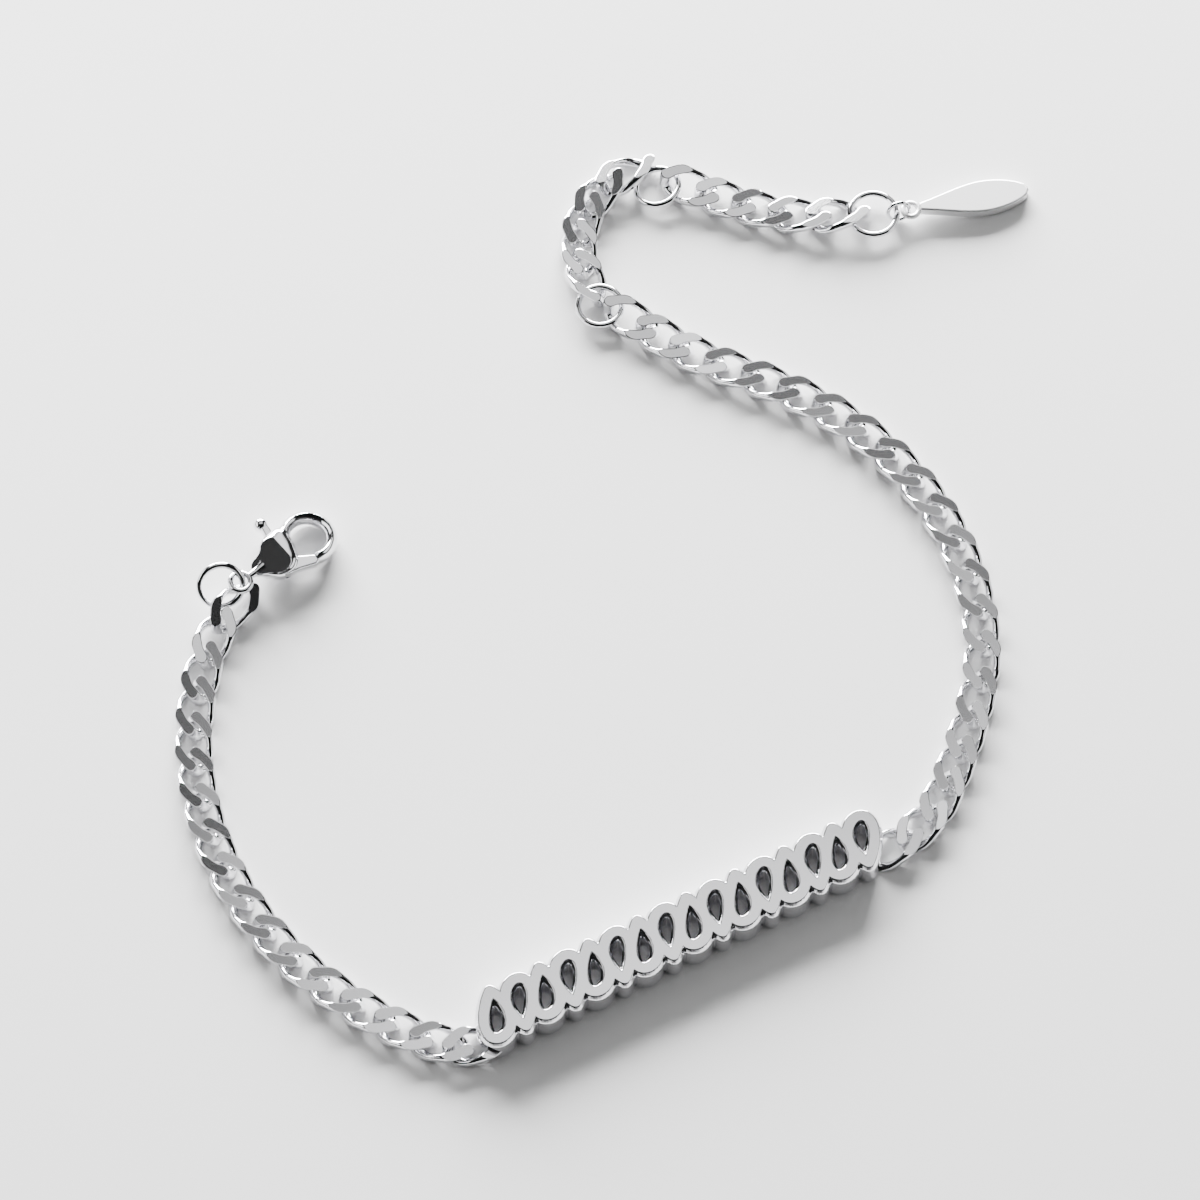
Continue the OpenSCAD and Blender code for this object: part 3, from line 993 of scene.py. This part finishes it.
# Place and size of each light. They all face the middle of the bracelet.
LIGHTS_FACE = (0, 0.03, 0)
BACK_LIGHT = ((-0.1, 0.6, 0.18), (0.6, 0.28))
LEFT_LIGHT = ((-0.26, 0.04, 0.12), (0.26, 0.1))
RIGHT_LIGHT = ((0.24, 0.04, 0.12), (0.26, 0.1))
# Brightness of the ceiling, at its edge and round its middle, and of what is black in it; then of the
# light and the dark stretches lower down.
CEILING_EDGE = 1.3
CEILING_MIDDLE = 2.4
CEILING_BLACK = 0.012
LOWER_LIGHT = 0.2
LOWER_DARK = 0.01


def add_floor(settings):
    mesh = bpy.data.meshes.new("stage_floor")
    corners = [(x * FLOOR_HALF, y * FLOOR_HALF, 0) for x, y in ((-1, -1), (1, -1), (1, 1), (-1, 1))]
    mesh.from_pydata(corners, [], [(0, 1, 2, 3)])
    floor = bpy.data.objects.new("stage_floor", mesh)
    bpy.context.scene.collection.objects.link(floor)
    material = bpy.data.materials.new("floor_paper")
    material.use_nodes = True
    shader = material.node_tree.nodes["Principled BSDF"]
    shader.inputs["Base Color"].default_value = (*settings.floor, 1)
    shader.inputs["Roughness"].default_value = 0.75
    shader.inputs["Specular IOR Level"].default_value = 0.2
    nodes, links = material.node_tree.nodes, material.node_tree.links
    place = nodes.new("ShaderNodeTexCoord").outputs["Object"]
    grain = relief_node(nodes, links, noise(nodes, links, place, 2500), 0.00002, 0.05)
    links.new(grain.outputs["Normal"], shader.inputs["Normal"])
    mesh.materials.append(material)


def add_panel(name, panel, power):
    """A soft light that faces the bracelet."""
    at, size = panel
    light = bpy.data.lights.new(name, "AREA")
    light.shape = "RECTANGLE"
    light.size, light.size_y = size
    light.energy = power
    lamp = bpy.data.objects.new(name, light)
    bpy.context.scene.collection.objects.link(lamp)
    lamp.location = at
    back = np.array(at) - np.array(LIGHTS_FACE)
    lamp.rotation_euler = (math.atan2(math.hypot(back[0], back[1]), back[2]), 0,
                           math.atan2(back[0], -back[1]))


def compute(nodes, links, operation, *values):
    """A math node fed by sockets or numbers."""
    node = nodes.new("ShaderNodeMath")
    node.operation = operation
    for socket, value in zip(node.inputs, values):
        if isinstance(value, (int, float)):
            socket.default_value = value
        else:
            links.new(value, socket)
    return node.outputs["Value"]


def soft_step(nodes, links, value, low, high):
    """0 below low, 1 above high, smooth between."""
    node = nodes.new("ShaderNodeMapRange")
    node.interpolation_type = "SMOOTHSTEP"
    node.inputs["From Min"].default_value = low
    node.inputs["From Max"].default_value = high
    links.new(value, node.inputs["Value"])
    return node.outputs["Result"]


def soft_tone(nodes, links, share, none, full):
    """Blend of two brightnesses."""
    node = nodes.new("ShaderNodeMapRange")
    node.inputs["To Min"].default_value = none
    node.inputs["To Max"].default_value = full
    links.new(share, node.inputs["Value"])
    return node.outputs["Result"]


def add_surround(settings):
    """A surround whose ceiling, which level faces mirror, is white with black to the left and far out.

    Lower down it is broken into light and dark stretches. Its limits are slopes, of x or y to z."""
    world = bpy.data.worlds.new("surround")
    world.use_nodes = True
    nodes, links = world.node_tree.nodes, world.node_tree.links
    back = nodes["Background"]
    back.inputs["Strength"].default_value = settings.sky
    place = nodes.new("ShaderNodeTexCoord").outputs["Generated"]
    parts = nodes.new("ShaderNodeSeparateXYZ")
    links.new(place, parts.inputs["Vector"])
    x, y, z = parts.outputs

    def sum_of(a, b):
        return compute(nodes, links, "ADD", a, b)

    def product(a, b):
        return compute(nodes, links, "MULTIPLY", a, b)

    def either(a, b):
        return compute(nodes, links, "MAXIMUM", a, b)

    def step(value, low, high):
        return soft_step(nodes, links, value, low, high)

    def band(value, start, end):
        """1 between two soft limits, 0 outside them."""
        return product(step(value, *start), step(value, *end))

    height = either(z, 0.05)
    across = compute(nodes, links, "DIVIDE", x, height)
    beyond = compute(nodes, links, "DIVIDE", y, height)
    aside = compute(nodes, links, "ABSOLUTE", across)
    fine = noise(nodes, links, place, 55, detail=1.0)
    coarse = noise(nodes, links, place, 2.6, detail=1.0)
    # The black to the left starts at a slanting line, so that it meets the short run and not the plate.
    slant = sum_of(across, product(compute(nodes, links, "MINIMUM", beyond, 0.47), -0.6))
    left = product(step(sum_of(slant, product(fine, -0.03)), -0.297, -0.303), step(across, -0.34, -0.28))
    left = product(left, band(beyond, (0.15, 0.2), (0.8, 0.75)))
    far = band(beyond, (0.458, 0.468), (0.62, 0.58))
    # The ceiling is a small window round the mirrored stretch; the rest stays dim, so shadows keep depth.
    window = product(step(sum_of(aside, product(coarse, -0.05)), 0.5, 0.44), step(z, 0.3, 0.4))
    window = product(window, band(beyond, (-0.1, -0.06), (1.35, 1.25)))
    middle = product(step(aside, 0.24, 0.2), band(beyond, (0.25, 0.3), (0.8, 0.72)))
    white = soft_tone(nodes, links, middle, CEILING_EDGE, CEILING_MIDDLE)
    ceiling = product(white, soft_tone(nodes, links, either(left, far), 1.0, CEILING_BLACK))
    near = product(step(y, 0.05, -0.1), step(z, 0.22, 0.42))
    lower = soft_tone(nodes, links, either(step(coarse, 0.54, 0.47), near), LOWER_LIGHT, LOWER_DARK)
    rest = compute(nodes, links, "SUBTRACT", 1.0, window)
    links.new(sum_of(product(window, ceiling), product(rest, lower)), back.inputs["Color"])
    bpy.context.scene.world = world


class BRACELET_OT_stage(bpy.types.Operator):
    """Set the camera, the floor, the lights and the surround"""
    bl_idname = "bracelet.stage"
    bl_label = "Stage"

    def execute(self, context):
        settings = context.scene.bracelet_stage
        data = bpy.data.cameras.new("view")
        data.lens = settings.lens
        data.sensor_width = 36.0
        data.clip_start = 0.01
        camera = bpy.data.objects.new("view", data)
        context.scene.collection.objects.link(camera)
        camera.location = (settings.middle_x, settings.middle_y - settings.distance * math.sin(settings.tilt),
                           settings.distance * math.cos(settings.tilt))
        camera.rotation_euler = (settings.tilt, 0, 0)
        context.scene.camera = camera
        add_floor(settings)
        add_surround(settings)
        add_panel("back_light", BACK_LIGHT, settings.key_power)
        add_panel("left_light", LEFT_LIGHT, settings.side_power)
        add_panel("right_light", RIGHT_LIGHT, settings.side_power / 2)
        return {"FINISHED"}


class BRACELET_PT_panel(bpy.types.Panel):
    """Lists the steps that make the bracelet"""
    bl_label = "Bracelet"
    bl_idname = "BRACELET_PT_panel"
    bl_space_type = "VIEW_3D"
    bl_region_type = "UI"
    bl_category = "Bracelet"

    def draw(self, context):
        for operator in STEPS:
            self.layout.operator(operator.bl_idname)
        for group in GROUPS:
            box = self.layout.box()
            settings = getattr(context.scene, group)
            for name in settings.bl_rna.properties.keys():
                if name not in ("rna_type", "name"):
                    box.prop(settings, name)


STEPS = [BRACELET_OT_chains, BRACELET_OT_plate, BRACELET_OT_rings, BRACELET_OT_clasp, BRACELET_OT_tag,
         BRACELET_OT_stage]
GROUPS = {
    "bracelet_chain": ChainSizes,
    "bracelet_plate": PlateSizes,
    "bracelet_ring": RingSizes,
    "bracelet_clasp": ClaspSizes,
    "bracelet_tag": TagSizes,
    "bracelet_finish": FinishSettings,
    "bracelet_stage": StageSettings,
}
CLASSES = list(GROUPS.values()) + STEPS + [BRACELET_PT_panel]


def register():
    for cls in CLASSES:
        bpy.utils.register_class(cls)
    for name, group in GROUPS.items():
        setattr(bpy.types.Scene, name, PointerProperty(type=group))


def unregister():
    for name in GROUPS:
        delattr(bpy.types.Scene, name)
    for cls in reversed(CLASSES):
        bpy.utils.unregister_class(cls)


def main():
    register()
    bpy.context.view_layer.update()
    steps = bpy.ops.bracelet
    for step in (steps.chains, steps.plate, steps.rings, steps.clasp, steps.tag, steps.stage):
        step()


if __name__ == "__main__":
    main()
